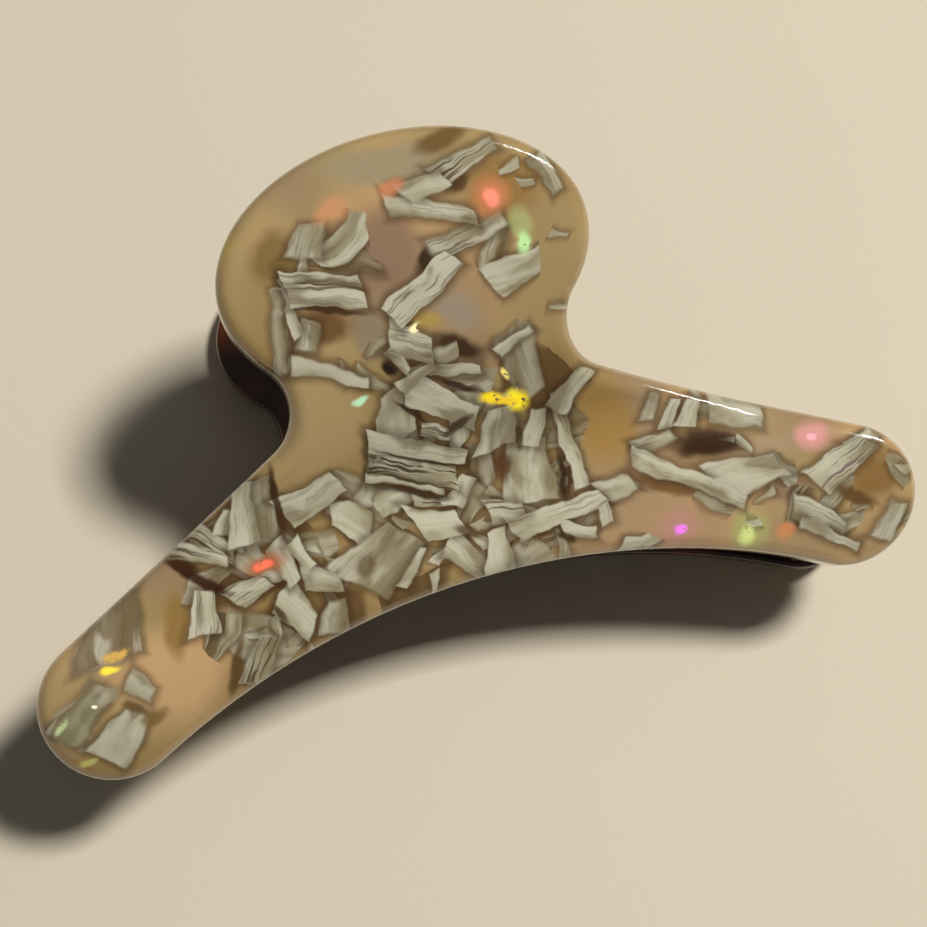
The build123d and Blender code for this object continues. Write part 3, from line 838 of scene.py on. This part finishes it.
rolled_leaf_steel = make_steel(
    "rolled_leaf_steel",
    colour=[0.56, 0.55, 0.52, 1.0],
    stain=[0.30, 0.25, 0.19, 1.0],
    grain_scale=(0.25, 6, 6),
    rough=0.34,
    relief=0.00001,
)
turned_steel = make_steel(
    "turned_steel",
    colour=[0.66, 0.65, 0.63, 1.0],
    stain=[0.42, 0.37, 0.30, 1.0],
    grain_scale=(9, 0.4, 0.4),
    rough=0.24,
    relief=0.000006,
)
spring_wire = make_steel(
    "spring_wire",
    colour=[0.42, 0.41, 0.40, 1.0],
    stain=[0.20, 0.16, 0.12, 1.0],
    grain_scale=(6, 1.2, 1.2),
    rough=0.3,
    relief=0.000008,
)
screw_head_steel = make_steel(
    "screw_head_steel",
    colour=[0.60, 0.58, 0.53, 1.0],
    stain=[0.34, 0.27, 0.19, 1.0],
    grain_scale=(3, 3, 3),
    rough=0.3,
    relief=0.000008,
)
liner_amber = make_dark_amber("liner_amber", scale=0.085, satin=0.12)
comb_amber = make_dark_amber("comb_amber", scale=0.16, satin=0.2)
front_shell = make_shell_acetate("front_shell_acetate", 1, (0, 0), density=0.62, placed=True)
rear_shell = make_shell_acetate("rear_shell_acetate", -1, (-7, 4), density=1, placed=False)

dress(
    {
        "front_face_plate": front_shell,
        "rear_face_plate": rear_shell,
        "front_liner": liner_amber,
        "rear_liner": liner_amber,
        "front_comb": comb_amber,
        "rear_comb": comb_amber,
        "front_hinge_leaf": rolled_leaf_steel,
        "rear_hinge_leaf": rolled_leaf_steel,
        "left_washer": rolled_leaf_steel,
        "right_washer": rolled_leaf_steel,
        "front_leaf_screws": screw_head_steel,
        "rear_leaf_screws": screw_head_steel,
        "hinge_pin": turned_steel,
        "pin_cap": turned_steel,
        "torsion_spring": spring_wire,
        "spring_bush": make_bush_plastic(),
    }
)


# ---- spring: a copy of the spring part stands in for it ----
def make_winding_spring():
    """Copy of the spring part, set in world space; the part itself is hidden."""
    coil = bpy.data.objects.new("winding_spring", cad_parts["torsion_spring"].data.copy())
    bpy.context.scene.collection.objects.link(coil)
    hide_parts("torsion_spring")
    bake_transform(coil)


make_winding_spring()


# ---- table, light and camera ----
TABLE_GAP = 0.00002             # between the clip and the table, so that they don't coincide


def make_table(half_size, colour):
    """Plain pale table that the closed clip lies on."""
    sides = [(-1, -1), (1, -1), (1, 1), (-1, 1)]
    corners = [(x * half_size, y * half_size, -TABLE_GAP) for x, y in sides]
    mesh = bpy.data.meshes.new("table")
    mesh.from_pydata(corners, [], [(0, 1, 2, 3)])
    table = bpy.data.objects.new("table", mesh)
    bpy.context.scene.collection.objects.link(table)
    finish = Finish("table_cloth", Roughness=0.9)
    weave = finish.grain(finish.place, 700.0, detail=3.0)
    cloud = finish.grain(finish.place, 14.0, detail=3.0)
    pale = [c * 0.96 for c in colour[:3]] + [1.0]
    finish.connect(
        Base_Color=finish.mix(cloud, pale, colour),
        Normal=finish.bump(weave, 0.0001, 0.25),
    )
    mesh.materials.append(finish.material)


def make_lamp(name, towards, distance, size, power, colour=(1, 1, 1)):
    """Area lamp of that width and height that shines on the clip from that direction."""
    light = bpy.data.lights.new(name, "AREA")
    light.shape = "RECTANGLE"
    light.size, light.size_y = size
    light.energy = power
    light.color = colour
    lamp = bpy.data.objects.new(name, light)
    bpy.context.scene.collection.objects.link(lamp)
    direction = Vector(towards).normalized()
    lamp.location = direction * distance
    lamp.rotation_mode = "QUATERNION"
    lamp.rotation_quaternion = direction.to_track_quat("Z", "Y")
    return lamp


def make_sky(colour, strength):
    """Even light from all round."""
    world = bpy.data.worlds.new("studio")
    world.use_nodes = True
    backdrop = world.node_tree.nodes["Background"]
    backdrop.inputs["Color"].default_value = colour
    backdrop.inputs["Strength"].default_value = strength
    bpy.context.scene.world = world


def make_camera():
    """Camera 23 centimetres from the clip, looking down on the front jaw."""
    lens = bpy.data.cameras.new("camera")
    lens.lens = 79.6
    lens.sensor_width = 36.0
    lens.clip_start = 0.01
    lens.clip_end = 20.0
    camera = bpy.data.objects.new("camera", lens)
    bpy.context.scene.collection.objects.link(camera)
    place = Matrix.Translation((-0.0258, -0.0692, 0.2230))
    back = Vector((-0.1316, -0.2872, 0.9488)).normalized()
    right = Vector((0.9545, -0.2948, 0.0432))
    right = (right - right.dot(back) * back).normalized()
    turn = Matrix((right, back.cross(right), back)).transposed()
    camera.matrix_world = place @ turn.to_4x4()
    bpy.context.scene.camera = camera


make_table(half_size=3.0, colour=tint(224, 214, 194))
make_sky(colour=(1.0, 0.98, 0.95, 1.0), strength=0.085)
key = make_lamp("key", (0.365, 0.004, 0.931), 0.9, (0.12, 0.12), 7.4, (1.0, 0.97, 0.91))
key.visible_glossy = False
rim_shine = make_lamp("rim_shine", (0.606, 0.233, 0.760), 0.9, (0.06, 0.53), 2.8)
rim_shine.visible_diffuse = False
make_camera()
bpy.context.scene.view_settings.view_transform = "Standard"
